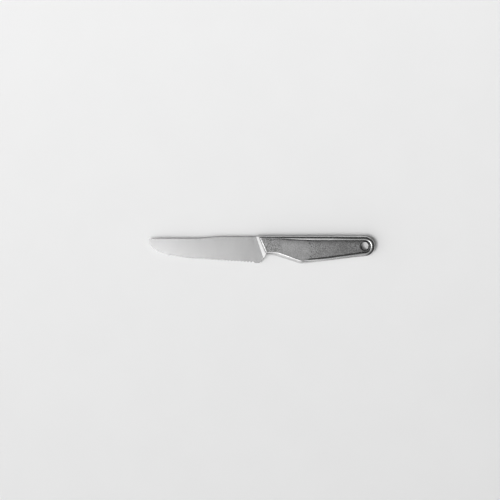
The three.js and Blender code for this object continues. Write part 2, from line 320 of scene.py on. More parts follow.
@dataclass(frozen=True)
class HandleProfile:
    """Outline of the handle and the shape of its rim, in mm."""

    blade: BladeProfile
    reach: float = 123.7
    front_half: float = 4.15
    full_half: float = 5.23
    swell_start: float = -4.0
    swell_end: float = 80.0
    front_sink: float = 0.37
    butt_sink: float = 2.2
    flush: float = 0.6
    flush_start: float = 2.0
    flush_end: float = 28.0
    butt_radius: float = 10.85
    palm_reach: float = 44.0
    palm_depth: float = 30.0
    palm_radius: float = 10.0
    bevel_run: float = 24.0
    notch_reach: float = 11.4
    notch_depth: float = 20.7
    notch_radius: float = 25.0
    taper_end: float = 66.0
    bolster_lead: float = 4.4
    bolster_lean: float = math.radians(18.7)
    rear_lean: float = math.radians(22.5)
    bolster_width: float = 3.45
    seam: float = 0.06
    trim: float = 0.09
    skew_run: float = 8.0
    station_gap: float = 0.7
    least_stations: int = 10
    spine_front: RimSection = RimSection(1.9, 2.6, 2.1, 0.15)
    spine_rear: RimSection = RimSection(4.4, 2.8, 2.3, 0.2)
    butt_top: RimSection = RimSection(4.5, 3.7, 3.0, 0.8)
    butt_side: RimSection = RimSection(4.3, 3.6, 1.5, 0.8)
    butt_low: RimSection = RimSection(3.9, 2.4, 1.6, 1.0)
    palm_rear: RimSection = RimSection(3.4, 1.4, 1.8, 1.0)
    palm_front: RimSection = RimSection(3.4, 4.6, 4.4, 0.15)
    belly: RimSection = RimSection(4.0, 5.4, 4.5, 0.15)
    belly_front: RimSection = RimSection(3.8, 5.2, 4.2, 0.15)

    @property
    def butt(self) -> Vector:
        """Centre of the round butt and of the hanging hole."""
        return Vector((self.reach - self.butt_radius, -self.butt_radius))

    @property
    def notch(self) -> Vector:
        """Centre of the finger notch."""
        return Vector((self.notch_reach, -self.notch_depth - self.notch_radius))

    @property
    def across_bolster(self) -> Vector:
        """Direction square to the leaning rear line of the bolster."""
        return heading(self.rear_lean)

    def lean(self, behind: float) -> float:
        """Run of a line across the bolster for each mm that it goes down."""
        return math.tan(mix(self.bolster_lean, self.rear_lean, behind / self.bolster_width))

    def slant_x(self, behind: float, y: float) -> float:
        """x on the line that lies a distance behind the bolster's front line at the spine."""
        return -self.bolster_lead - self.lean(behind) * y + behind

    def along(self, x: float) -> float:
        """Share of the way from the bolster to the butt at x."""
        return (x + self.bolster_lead) / (self.reach + self.bolster_lead)

    def half(self, x: float) -> float:
        """Half thickness of the rim and of the bolster's crest at x."""
        return mix(self.front_half, self.full_half, ease(self.swell_start, self.swell_end, x))

    def panel(self, x: float) -> float:
        """Half thickness over the panels at x."""
        raised = self.flush * (1.0 - ease(self.flush_start, self.flush_end, x))
        return self.half(x) - mix(self.front_sink, self.butt_sink, self.along(x)) + raised

    def notch_height(self, behind: float) -> float:
        """Height at which the finger notch crosses a line behind the bolster's front line.

        Args:
            behind: Distance behind the front line.

        Returns:
            y of the crossing, or the centre of the notch where they don't meet.
        """
        lean = self.lean(behind)
        offset = self.slant_x(behind, 0.0) - self.notch.x
        square = 1.0 + lean * lean
        middle = lean * offset + self.notch.y
        rest = offset * offset + self.notch.y**2 - self.notch_radius**2
        inside = middle * middle - square * rest
        return (middle + math.sqrt(inside)) / square if inside > 0.0 else self.notch.y

    def heel_height(self, behind: float) -> float:
        """Height at which the heel slope crosses a line behind the bolster's front line.

        Args:
            behind: Distance behind the front line.

        Returns:
            y of the crossing.
        """
        way = self.blade.heel_way
        start = self.blade.heel
        run = (self.slant_x(behind, start.y) - start.x) / (way.x + self.lean(behind) * way.y)
        return start.y + way.y * run

    def lower_edge(self, behind: float) -> float:
        """Lower outline on a line behind the bolster's front line.

        Args:
            behind: Distance behind the front line.

        Returns:
            y where the line leaves the handle, on the heel slope or on the finger notch.
        """
        height = self.heel_height(behind)
        away = Vector((self.slant_x(behind, height), height)) - self.notch
        return height if away.length < self.notch_radius else self.notch_height(behind)

    def stretches(self) -> list[tuple[Line | Arc, RimSection, RimSection]]:
        """Stretches of the rim's outline, from the bolster round the butt and back.

        Returns:
            For each stretch its line and its first and last section.
        """
        notch = self.notch
        palm = Vector((self.palm_reach, -self.palm_depth))
        rear = touch_angle(palm, self.butt, self.butt_radius)
        front = touch_angle(palm, notch, self.notch_radius)
        turn = (rear + math.tau - front - math.pi) / 2
        corner = palm + heading(front + turn) * (self.palm_radius / math.cos(turn))
        behind = self.bolster_width + self.seam
        low = self.notch_height(behind)
        end = Vector((self.slant_x(behind, low), low)) - notch
        taper = Vector((self.taper_end, 0.0))
        spine_end = Vector((self.butt.x, 0.0))
        start = Vector((self.slant_x(behind, 0.0), 0.0))
        butt = Arc(self.butt, self.butt_radius, QUARTER, 0.0)
        butt_under = Arc(self.butt, self.butt_radius, 0.0, rear)
        round_palm = Arc(corner, self.palm_radius, rear, front - math.pi)
        hollow = Arc(notch, self.notch_radius, front, math.atan2(end.y, end.x), True)
        low_rear, low_front = butt_under.at(1.0)[0], round_palm.at(0.0)[0]
        run_out = low_front + (low_rear - low_front).normalized() * self.bevel_run
        under = (Line(low_rear, run_out), Line(run_out, low_front))
        belly = Line(round_palm.at(1.0)[0], hollow.at(0.0)[0])
        spine = (Line(start, taper), Line(taper, spine_end))
        lines = (*spine, butt, butt_under, *under, round_palm, belly, hollow)
        sections = (
            self.spine_front, self.spine_rear, self.butt_top, self.butt_side, self.butt_low,
            self.palm_rear, self.palm_front, self.palm_front, self.belly, self.belly_front,
        )
        return list(zip(lines, sections, sections[1:]))

    def rim(self) -> list[RimStation]:
        """Stations along the rim, from the bolster's spine side to its belly side.

        Returns:
            The stations in order.
        """
        walk = []
        for line, first, last in self.stretches():
            count = max(self.least_stations, round(line.length / self.station_gap))
            for share in steps(0.0, 1.0, count):
                walk.append((*line.at(share), first.blend(last, ease(0.0, 1.0, share))))
        walk.append((*line.at(1.0), last))
        ends = walk[0][0], walk[-1][0]
        made = []
        for at, out, section in walk:
            along = Vector((out.y, -out.x))
            far = min((at - end).length for end in ends)
            fade = 1.0 - ease(0.0, self.skew_run, far)
            skew = 0.0
            if fade:
                skew = fade * out.dot(self.across_bolster) / along.dot(self.across_bolster)
            made.append(RimStation(at - out * self.trim, out, along, section, skew))
        return made


@dataclass(frozen=True)
class KnifeSpace:
    """How the knife lies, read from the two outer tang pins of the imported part."""

    front_pin_reach: float = 20.0
    pin_height: float = -10.35

    def matrix(self) -> Matrix:
        """Change from millimetres on the knife to metres in the part.

        Returns:
            The matrix that lays a flat piece down.
        """
        front = box_centre("front_tang_pin")
        run = box_centre("rear_tang_pin") - front
        turn = Matrix.Rotation(-math.atan2(run.z, run.x), 4, "Y") @ Matrix.Scale(MM, 4)
        pin = turn @ Vector((self.front_pin_reach, self.pin_height, 0.0))
        return Matrix.Translation(front - pin) @ turn


# Finishes


class Effect(Enum):
    """Surface effects that several finishes share: the name of each and its own inputs."""

    STREAKS = ("brushed_streaks", ("Spacing", "Length"))
    SMUDGES = ("handling_smudges", ("Size",))
    PITS = ("small_pits", ("Size", "Amount"))


Socket = bpy.types.NodeSocket
Value = Socket | float

# Stretches of a cloudy value, or of the distance from a pit, over which a mask goes from end to end
CLOUD_RANGE = (0.3, 0.7)
SMUDGE_RANGE = (0.35, 0.65)
PIT_RANGE = (0.15, 0.45)
CLOUD_ROUGHNESS = 0.55
PLAIN_DETAIL = 2.0
FINE_DETAIL = 3.0


class Sketch:
    """Adds and links the nodes of one shader tree."""

    def __init__(self, tree: bpy.types.NodeTree) -> None:
        """Starts on a tree and keeps the nodes it has."""
        self.tree = tree

    def add(self, kind: str, sockets: dict[str | int, Value], **settings: object) -> bpy.types.Node:
        """Adds one node.

        Args:
            kind: Type name of the node.
            sockets: A value, or another node's output, for each named or numbered input.
            settings: Properties of the node.

        Returns:
            The new node.
        """
        node = self.tree.nodes.new(kind)
        for name, value in settings.items():
            setattr(node, name, value)
        for name, value in sockets.items():
            if isinstance(value, Socket):
                self.tree.links.new(value, node.inputs[name])
            else:
                node.inputs[name].default_value = value
        return node

    def math(self, operation: str, first: Value, second: Value = 0.0) -> Socket:
        """Result of a sum on two values."""
        return self.add("ShaderNodeMath", {0: first, 1: second}, operation=operation).outputs[0]

    def span(self, value: Socket, low: float, high: float, start: float, end: float) -> Socket:
        """Value that follows another one smoothly.

        Args:
            value: The value that it follows.
            low: Where on that value the change starts.
            high: Where on that value the change ends.
            start: Result up to low.
            end: Result from high on.

        Returns:
            The result.
        """
        sockets = {"Value": value, "From Min": low, "From Max": high, "To Min": start, "To Max": end}
        kind = "ShaderNodeMapRange"
        return self.add(kind, sockets, interpolation_type="SMOOTHSTEP").outputs["Result"]

    def tint(self, value: Value, mask: Socket, low: float, high: float) -> Socket:
        """Value times a factor that goes from low to high as a mask goes from 0 to 1."""
        return self.math("MULTIPLY", value, self.span(mask, 0.0, 1.0, low, high))

    def shift(self, value: Value, mask: Socket, low: float, high: float) -> Socket:
        """Value plus an amount that goes from low to high as a mask goes from 0 to 1."""
        return self.math("ADD", value, self.span(mask, 0.0, 1.0, low, high))

    def squares(self, values: Sequence[Socket]) -> Socket:
        """Sum of squares.

        Args:
            values: The values to square.

        Returns:
            The sum.
        """
        total: Value = 0.0
        for value in values:
            total = self.math("ADD", self.math("MULTIPLY", value, value), total)
        return total

    def bell(self, offsets: Sequence[Socket]) -> Socket:
        """Soft spot that is 1 in its middle, for the offsets from there counted in spreads."""
        return self.math("EXPONENT", self.math("MULTIPLY", self.squares(offsets), -0.5))

    def cloud(self, position: Socket, size: Value, detail: float = PLAIN_DETAIL) -> Socket:
        """Cloudy value.

        Args:
            position: Place on the piece in mm.
            size: Size of the patches in mm.
            detail: How many finer clouds lie over the first.

        Returns:
            The value, mostly between 0.3 and 0.7.
        """
        scale = self.math("DIVIDE", 1.0, size) if isinstance(size, Socket) else 1.0 / size
        sockets = {"Vector": position, "Scale": scale, "Detail": detail, "Roughness": CLOUD_ROUGHNESS}
        return self.add("ShaderNodeTexNoise", sockets).outputs["Fac"]

    def position(self) -> Socket:
        """Place on the piece.

        Returns:
            The place in mm.
        """
        source = self.add("ShaderNodeTexCoord", {}).outputs["Object"]
        sockets = {0: source, "Scale": 1.0 / MM}
        return self.add("ShaderNodeVectorMath", sockets, operation="SCALE").outputs["Vector"]

    def axes(self, place: Socket) -> bpy.types.NodeOutputs:
        """Outputs X, Y and Z of a place or direction."""
        return self.add("ShaderNodeSeparateXYZ", {0: place}).outputs

    def attribute(self, name: str) -> Socket:
        """Value that the mesh holds at its vertices."""
        return self.add("ShaderNodeAttribute", {}, attribute_name=name).outputs["Fac"]

    def effect(self, effect: Effect, position: Socket, **values: float) -> Socket:
        """Mask of a shared effect, for a place in mm and the effect's own inputs by name."""
        sockets = {"Position": position, **values}
        return self.add("ShaderNodeGroup", sockets, node_tree=effect_group(effect)).outputs["Mask"]


def effect_group(effect: Effect) -> bpy.types.NodeTree:
    """Node group of a shared effect, built on first use.

    Args:
        effect: Which effect.

    Returns:
        The group, which puts out one mask from 0 to 1.
    """
    name, inputs = effect.value
    found = bpy.data.node_groups.get(name)
    if found:
        return found
    tree = bpy.data.node_groups.new(name, "ShaderNodeTree")
    tree.interface.new_socket(name="Position", in_out="INPUT", socket_type="NodeSocketVector")
    for wanted in inputs:
        tree.interface.new_socket(name=wanted, in_out="INPUT", socket_type="NodeSocketFloat")
    tree.interface.new_socket(name="Mask", in_out="OUTPUT", socket_type="NodeSocketFloat")
    sketch = Sketch(tree)
    given = sketch.add("NodeGroupInput", {}).outputs
    if effect is Effect.STREAKS:
        axes = sketch.axes(given["Position"])
        across = sketch.math("DIVIDE", axes["X"], given["Spacing"])
        down = sketch.math("DIVIDE", axes["Y"], given["Length"])
        place = sketch.add("ShaderNodeCombineXYZ", {"X": across, "Y": down}).outputs[0]
        mask = sketch.span(sketch.cloud(place, 1.0, FINE_DETAIL), *CLOUD_RANGE, 0.0, 1.0)
    elif effect is Effect.SMUDGES:
        cloud = sketch.cloud(given["Position"], given["Size"], FINE_DETAIL)
        mask = sketch.span(cloud, *SMUDGE_RANGE, 0.0, 1.0)
    else:
        scale = sketch.math("DIVIDE", 1.0, given["Size"])
        sockets = {"Vector": given["Position"], "Scale": scale}
        cells = sketch.add("ShaderNodeTexVoronoi", sockets, voronoi_dimensions="2D").outputs
        chance = sketch.add("ShaderNodeSeparateColor", {0: cells["Color"]}).outputs[0]
        chosen = sketch.math("LESS_THAN", chance, given["Amount"])
        mask = sketch.math("MULTIPLY", sketch.span(cells["Distance"], *PIT_RANGE, 1.0, 0.0), chosen)
    sketch.add("NodeGroupOutput", {"Mask": mask})
    return tree


class Surface(NamedTuple):
    """What varies over a surface: grey tone, roughness and relief, with the relief's depth in mm."""

    tone: Socket
    roughness: Socket
    relief: Socket
    depth: float


@dataclass(frozen=True)
class Finish:
    """Common part of the steel finishes."""

    name: str
    tone: float
    metallic: float
    roughness: float

    def material(self) -> bpy.types.Material:
        """Material of this finish, built on first use.

        Returns:
            The material.
        """
        found = bpy.data.materials.get(self.name)
        if found:
            return found
        made = bpy.data.materials.new(self.name)
        made.use_nodes = True
        sketch = Sketch(made.node_tree)
        shader = made.node_tree.nodes["Principled BSDF"]
        shader.inputs["Metallic"].default_value = self.metallic
        surface = self.surface(sketch, sketch.position())
        sockets = {"Strength": 1.0, "Distance": surface.depth * MM, "Height": surface.relief}
        bump = sketch.add("ShaderNodeBump", sockets)
        made.node_tree.links.new(surface.tone, shader.inputs["Base Color"])
        made.node_tree.links.new(surface.roughness, shader.inputs["Roughness"])
        made.node_tree.links.new(bump.outputs["Normal"], shader.inputs["Normal"])
        return made

    def surface(self, sketch: Sketch, position: Socket) -> Surface:
        """What varies over the surface.

        Args:
            sketch: The material's nodes.
            position: Place on the piece in mm.

        Returns:
            The surface.
        """
        raise NotImplementedError


@dataclass(frozen=True)
class SatinSteel(Finish):
    """Ground steel with fine lines that run across the blade."""

    line_spacing: float = 0.22
    line_length: float = 40.0
    line_depth: float = 0.0015
    line_change: float = 0.03
    band_spacing: float = 1.1
    band_length: float = 80.0
    band_change: float = 0.028
    smudge_size: float = 14.0
    smudge_change: float = 0.015

    def surface(self, sketch: Sketch, position: Socket) -> Surface:
        """Fine lines, broader bands and faint smudges.

        Args:
            sketch: The material's nodes.
            position: Place on the piece in mm.

        Returns:
            The surface.
        """
        streaks = Effect.STREAKS
        lines = sketch.effect(streaks, position, Spacing=self.line_spacing, Length=self.line_length)
        bands = sketch.effect(streaks, position, Spacing=self.band_spacing, Length=self.band_length)
        smudges = sketch.effect(Effect.SMUDGES, position, Size=self.smudge_size)
        tone = sketch.tint(self.tone, bands, 1.0 - self.band_change, 1.0 + self.band_change)
        rough = sketch.shift(self.roughness, lines, -self.line_change, self.line_change)
        rough = sketch.shift(rough, smudges, 0.0, self.smudge_change)
        return Surface(tone, rough, lines, self.line_depth)


@dataclass(frozen=True)
class PolishedSteel(Finish):
    """Hand-polished steel, with a slight wave, hairlines and a few small pits."""

    wave_size: float = 5.0
    wave_depth: float = 0.012
    hair_spacing: float = 6.0
    hair_length: float = 0.3
    hair_change: float = 0.02
    smudge_size: float = 6.0
    smudge_change: tuple[float, float] = (-0.02, 0.05)
    pit_size: float = 1.3
    pit_amount: float = 0.05
    pit_tone: float = 0.6
    pit_relief: float = 0.6
    bounce_loss: float = 0.8

    def surface(self, sketch: Sketch, position: Socket) -> Surface:
        """Waves, hairlines, smudges and pits, which stay round on the upright walls.

        The light that the steel throws on the floor is dimmed, so no glare lies beside the knife.

        Args:
            sketch: The material's nodes.
            position: Place on the piece in mm.

        Returns:
            The surface.
        """
        waves = sketch.cloud(position, self.wave_size)
        sockets = {0: position, 1: sketch.axes(position)["Z"]}
        sheared = sketch.add("ShaderNodeVectorMath", sockets, operation="ADD").outputs["Vector"]
        hairs = sketch.effect(
            Effect.STREAKS, position, Spacing=self.hair_spacing, Length=self.hair_length
        )
        smudges = sketch.effect(Effect.SMUDGES, position, Size=self.smudge_size)
        pits = sketch.effect(Effect.PITS, sheared, Size=self.pit_size, Amount=self.pit_amount)
        bounce = sketch.add("ShaderNodeLightPath", {}).outputs["Is Diffuse Ray"]
        tone = sketch.tint(self.tone, pits, 1.0, self.pit_tone)
        tone = sketch.tint(tone, bounce, 1.0, 1.0 - self.bounce_loss)
        rough = sketch.shift(self.roughness, smudges, *self.smudge_change)
        rough = sketch.shift(rough, hairs, -self.hair_change, self.hair_change)
        relief = sketch.math("SUBTRACT", waves, sketch.math("MULTIPLY", pits, self.pit_relief))
        return Surface(tone, rough, relief, self.wave_depth)


class ForgedZones(NamedTuple):
    """Masks on a forged face: its coarse front, all that is rough, and the smooth field's border."""

    front: Socket
    rough: Socket
    border: Socket


@dataclass(frozen=True)
class ForgedSteel(Finish):
    """Dark steel as it left the forge: scale, coarse pits at the front and a smoother field.

    Pits are given by their size in mm and the share of places that have one.
    """

    rear_tone: float = 0.157
    tone_run: tuple[float, float] = (25.0, 105.0)
    coarse_end: float = 20.5
    coarse_blur: float = 1.6
    front_lift: float = 1.1
    field_at: tuple[float, float] = (41.8, -1.4)
    field_radius: float = 12.4
    field_blur: float = 0.6
    field_lift: float = 1.1
    field_speckle: float = 0.5
    ragged_size: float = 2.5
    ragged_reach: float = 1.2
    border_fade: tuple[float, float] = (0.3, 1.5)
    mottle_size: float = 2.0
    mottle_change: float = 0.2
    grit_size: float = 1.0
    grit_change: float = 0.36
    patch_size: float = 7.0
    patch_change: float = 0.05
    coarse_pits: tuple[float, float] = (2.0, 0.6)
    coarse_share: float = 0.5
    fine_pits: tuple[float, float] = (1.4, 0.4)
    fine_shares: tuple[float, float] = (0.08, 0.5)
    border_pits: tuple[float, float] = (2.2, 0.8)
    pit_tone: float = 0.35
    # painted shade under the spine rim: where it fades in across y and along x, and how dark it gets
    spine_shade_fade: tuple[float, float] = (3.5, 10.5)
    spine_shade_run: float = 60.0
    spine_shade_least: float = 0.25
    spine_shade_tone: float = 0.62
    # how dark the painted shade in the grooves along the rim gets
    groove_shade_tone: float = 0.15
    # worn steel along the bolster, brightened as a painted highlight
    worn_highlight_tone: float = 0.31
    worn_polish: float = 0.25
    rough_change: tuple[float, float] = (-0.06, 0.08)
    relief_depth: float = 0.12

    def zones(self, sketch: Sketch, position: Socket) -> ForgedZones:
        """Where the face is coarse, rough or smooth, with ragged borders.

        Args:
            sketch: The material's nodes.
            position: Place on the piece in mm.

        Returns:
            The masks of the zones.
        """
        axes = sketch.axes(position)
        field_x, field_y = self.field_at
        ahead = sketch.math("MAXIMUM", sketch.math("SUBTRACT", axes["X"], field_x), 0.0)
        aside = sketch.math("SUBTRACT", axes["Y"], field_y)
        cloud = sketch.cloud(position, self.ragged_size, FINE_DETAIL)
        ragged = sketch.span(cloud, *CLOUD_RANGE, -self.ragged_reach, self.ragged_reach)
        reach = sketch.math("ADD", sketch.math("SQRT", sketch.squares((ahead, aside))), ragged)
        off_field = sketch.math("SUBTRACT", reach, self.field_radius)
        outside = sketch.span(off_field, -self.field_blur, self.field_blur, 0.0, 1.0)
        border = sketch.span(sketch.math("ABSOLUTE", off_field), *self.border_fade, 1.0, 0.0)
        off_front = sketch.math("SUBTRACT", sketch.math("ADD", axes["X"], ragged), self.coarse_end)
        front = sketch.span(off_front, -self.coarse_blur, self.coarse_blur, 1.0, 0.0)
        return ForgedZones(front, sketch.math("MAXIMUM", outside, front), border)

    def pits(self, sketch: Sketch, position: Socket, zones: ForgedZones) -> Socket:
        """Dark pits: fine ones all over, coarse ones at the front and a row along the field.

        Args:
            sketch: The material's nodes.
            position: Place on the piece in mm.
            zones: Masks of the face's zones.

        Returns:
            The mask of the pits.
        """
        coarse, fine, row = (
            sketch.effect(Effect.PITS, position, Size=size, Amount=amount)
            for size, amount in (self.coarse_pits, self.fine_pits, self.border_pits)
        )
        fine = sketch.tint(fine, zones.rough, *self.fine_shares)
        coarse = sketch.tint(coarse, zones.front, 0.0, self.coarse_share)
        row = sketch.math("MULTIPLY", zones.border, row)
        return sketch.math("MAXIMUM", sketch.math("MAXIMUM", fine, coarse), row)

    def shade(
        self, sketch: Sketch, position: Socket, zones: ForgedZones, mottle: Socket, pits: Socket
    ) -> Socket:
        """Grey tone of the scale, which darkens to the rear and in pits, with painted shade under the
        spine and in the grooves along the rim.

        Args:
            sketch: The material's nodes.
            position: Place on the piece in mm.
            zones: Masks of the face's zones.
            mottle: Cloudy value of the scale.
            pits: Mask of the pits.

        Returns:
            The tone.
        """
        axes = sketch.axes(position)
        grit = sketch.cloud(position, self.grit_size)
        patches = sketch.effect(Effect.SMUDGES, position, Size=self.patch_size)
        speckle = sketch.math(
            "ADD",
            sketch.span(mottle, *CLOUD_RANGE, -self.mottle_change, self.mottle_change),
            sketch.span(grit, *CLOUD_RANGE, -self.grit_change, self.grit_change),
        )
        speckle = sketch.tint(speckle, zones.rough, self.field_speckle, 1.0)
        # painted shade on the panel under the spine rim, stronger towards the butt
        spine_painted_shade = sketch.math(
            "MULTIPLY",
            sketch.span(axes["Y"], *self.spine_shade_fade, 0.0, 1.0),
            sketch.span(axes["X"], 0.0, self.spine_shade_run, self.spine_shade_least, 1.0),
        )
        tone = sketch.span(axes["X"], *self.tone_run, self.tone, self.rear_tone)
        tone = sketch.math("MULTIPLY", tone, sketch.math("ADD", speckle, 1.0))
        for mask, low, high in (
            (patches, 1.0 - self.patch_change, 1.0 + self.patch_change),
            (zones.rough, self.field_lift, 1.0),
            (zones.front, 1.0, self.front_lift),
            (pits, 1.0, self.pit_tone),
            (spine_painted_shade, 1.0, self.spine_shade_tone),
            # painted shade in the grooves along the rim
            (sketch.attribute("groove_shade"), 1.0, self.groove_shade_tone),
        ):
            tone = sketch.tint(tone, mask, low, high)
        return tone

    def surface(self, sketch: Sketch, position: Socket) -> Surface:
        """Scale, pits and the bright steel where the scale has worn off.

        Args:
            sketch: The material's nodes.
            position: Place on the piece in mm.

        Returns:
            The surface.
        """
        zones = self.zones(sketch, position)
        pits = self.pits(sketch, position, zones)
        mottle = sketch.cloud(position, self.mottle_size, FINE_DETAIL)
        worn_highlight = sketch.attribute("worn_highlight")
        tone = self.shade(sketch, position, zones, mottle, pits)
        # worn steel along the bolster, with a painted highlight
        tone = sketch.math("ADD", tone, sketch.math("MULTIPLY", worn_highlight, self.worn_highlight_tone))
        change = sketch.span(mottle, *CLOUD_RANGE, *self.rough_change)
        rough = sketch.math("ADD", change, self.roughness)
        rough = sketch.math("SUBTRACT", rough, sketch.math("MULTIPLY", worn_highlight, self.worn_polish))
        return Surface(tone, rough, sketch.math("SUBTRACT", mottle, pits), self.relief_depth)


@dataclass(frozen=True)
class DrawnSteel(Finish):
    """Drawn pin wire, with faint lines and smudges."""

    line_spacing: float = 0.15
    line_length: float = 4.0
    line_depth: float = 0.004
    line_change: float = 0.05
    smudge_size: float = 2.0
    smudge_tones: tuple[float, float] = (0.94, 1.04)

    def surface(self, sketch: Sketch, position: Socket) -> Surface:
        """Fine lines and smudges.

        Args:
            sketch: The material's nodes.
            position: Place on the piece in mm.

        Returns:
            The surface.
        """
        lines = sketch.effect(
            Effect.STREAKS, position, Spacing=self.line_spacing, Length=self.line_length
        )
        smudges = sketch.effect(Effect.SMUDGES, position, Size=self.smudge_size)
        tone = sketch.tint(self.tone, smudges, *self.smudge_tones)
        rough = sketch.shift(self.roughness, lines, -self.line_change, self.line_change)
        return Surface(tone, rough, lines, self.line_depth)


BLADE_STEEL = SatinSteel("satin_blade_finish", tone=0.43, metallic=0.92, roughness=0.22)
RIM_STEEL = PolishedSteel("polished_rim_finish", tone=0.66, metallic=1.0, roughness=0.19)
PANEL_STEEL = ForgedSteel("forged_panel_finish", tone=0.26, metallic=0.35, roughness=0.55)
# the hole lining is painted near black: painted shade inside the hanging hole
HOLE_SHADE_STEEL = ForgedSteel(
    "hole_lining_painted_shade", tone=0.06, metallic=0.35, roughness=0.6, rear_tone=0.035
)
PIN_STEEL = DrawnSteel("drawn_pin_finish", tone=0.6, metallic=1.0, roughness=0.3)


# Pieces


def loft(sections: Sequence[Sequence[Vector]]) -> bmesh.types.BMesh:
    """Skin over a row of closed sections, with closed ends.

    Args:
        sections: Rings that all have the same number of points.

    Returns:
        The new mesh.
    """
    bm = bmesh.new()
    slot = bm.verts.layers.int.new("slot")
    first = [bm.verts.new(point) for point in sections[0]]
    for index, vert in enumerate(first):
        vert[slot] = index
    ring = list(bm.faces.new(first).edges)
    for section in sections[1:]:
        made = bmesh.ops.extrude_edge_only(bm, edges=ring)["geom"]
        fresh = {item for item in made if isinstance(item, bmesh.types.BMVert)}
        edges = [item for item in made if isinstance(item, bmesh.types.BMEdge)]
        ring = [edge for edge in edges if fresh.issuperset(edge.verts)]
        for vert in fresh:
            vert.co = section[vert[slot]]
    bmesh.ops.edgeloop_fill(bm, edges=ring)
    bm.verts.layers.int.remove(slot)
    return bm


@dataclass
class Piece:
    """Common part of the knife's pieces: where a piece lies and what it stands for."""

    space: Matrix
    profile: HandleProfile
    sharp_angle: float = math.radians(32.0)

    def place(self, name: str, bm: bmesh.types.BMesh, finish: Finish, node: str, slot: str) -> None:
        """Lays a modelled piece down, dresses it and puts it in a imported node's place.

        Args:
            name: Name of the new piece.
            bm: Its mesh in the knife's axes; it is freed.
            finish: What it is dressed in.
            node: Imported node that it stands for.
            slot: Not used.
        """
        bm.transform(self.space)
        bmesh.ops.recalc_face_normals(bm, faces=bm.faces[:])
        mesh = bpy.data.meshes.new(name)
        bm.to_mesh(mesh)
        bm.free()
        mesh.shade_smooth()
        mesh.set_sharp_from_angle(angle=self.sharp_angle)
        mesh.materials.append(finish.material())
        piece = bpy.data.objects.new(name, mesh)
        bpy.context.scene.collection.objects.link(piece)
        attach(piece, "root")
        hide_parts(node)
        LOG.info("%s: %d faces for %s", name, len(mesh.polygons), node)


@dataclass(frozen=True)
class Grind(Blend):
    """How the edge is ground at one place.

    It holds the depth of the hollow, the width of the bevel on both faces, and how far the apex lies
    towards the left face, from 0 in the middle to 1.
    """

    depth: float
    left: float
    right: float
    apex: float


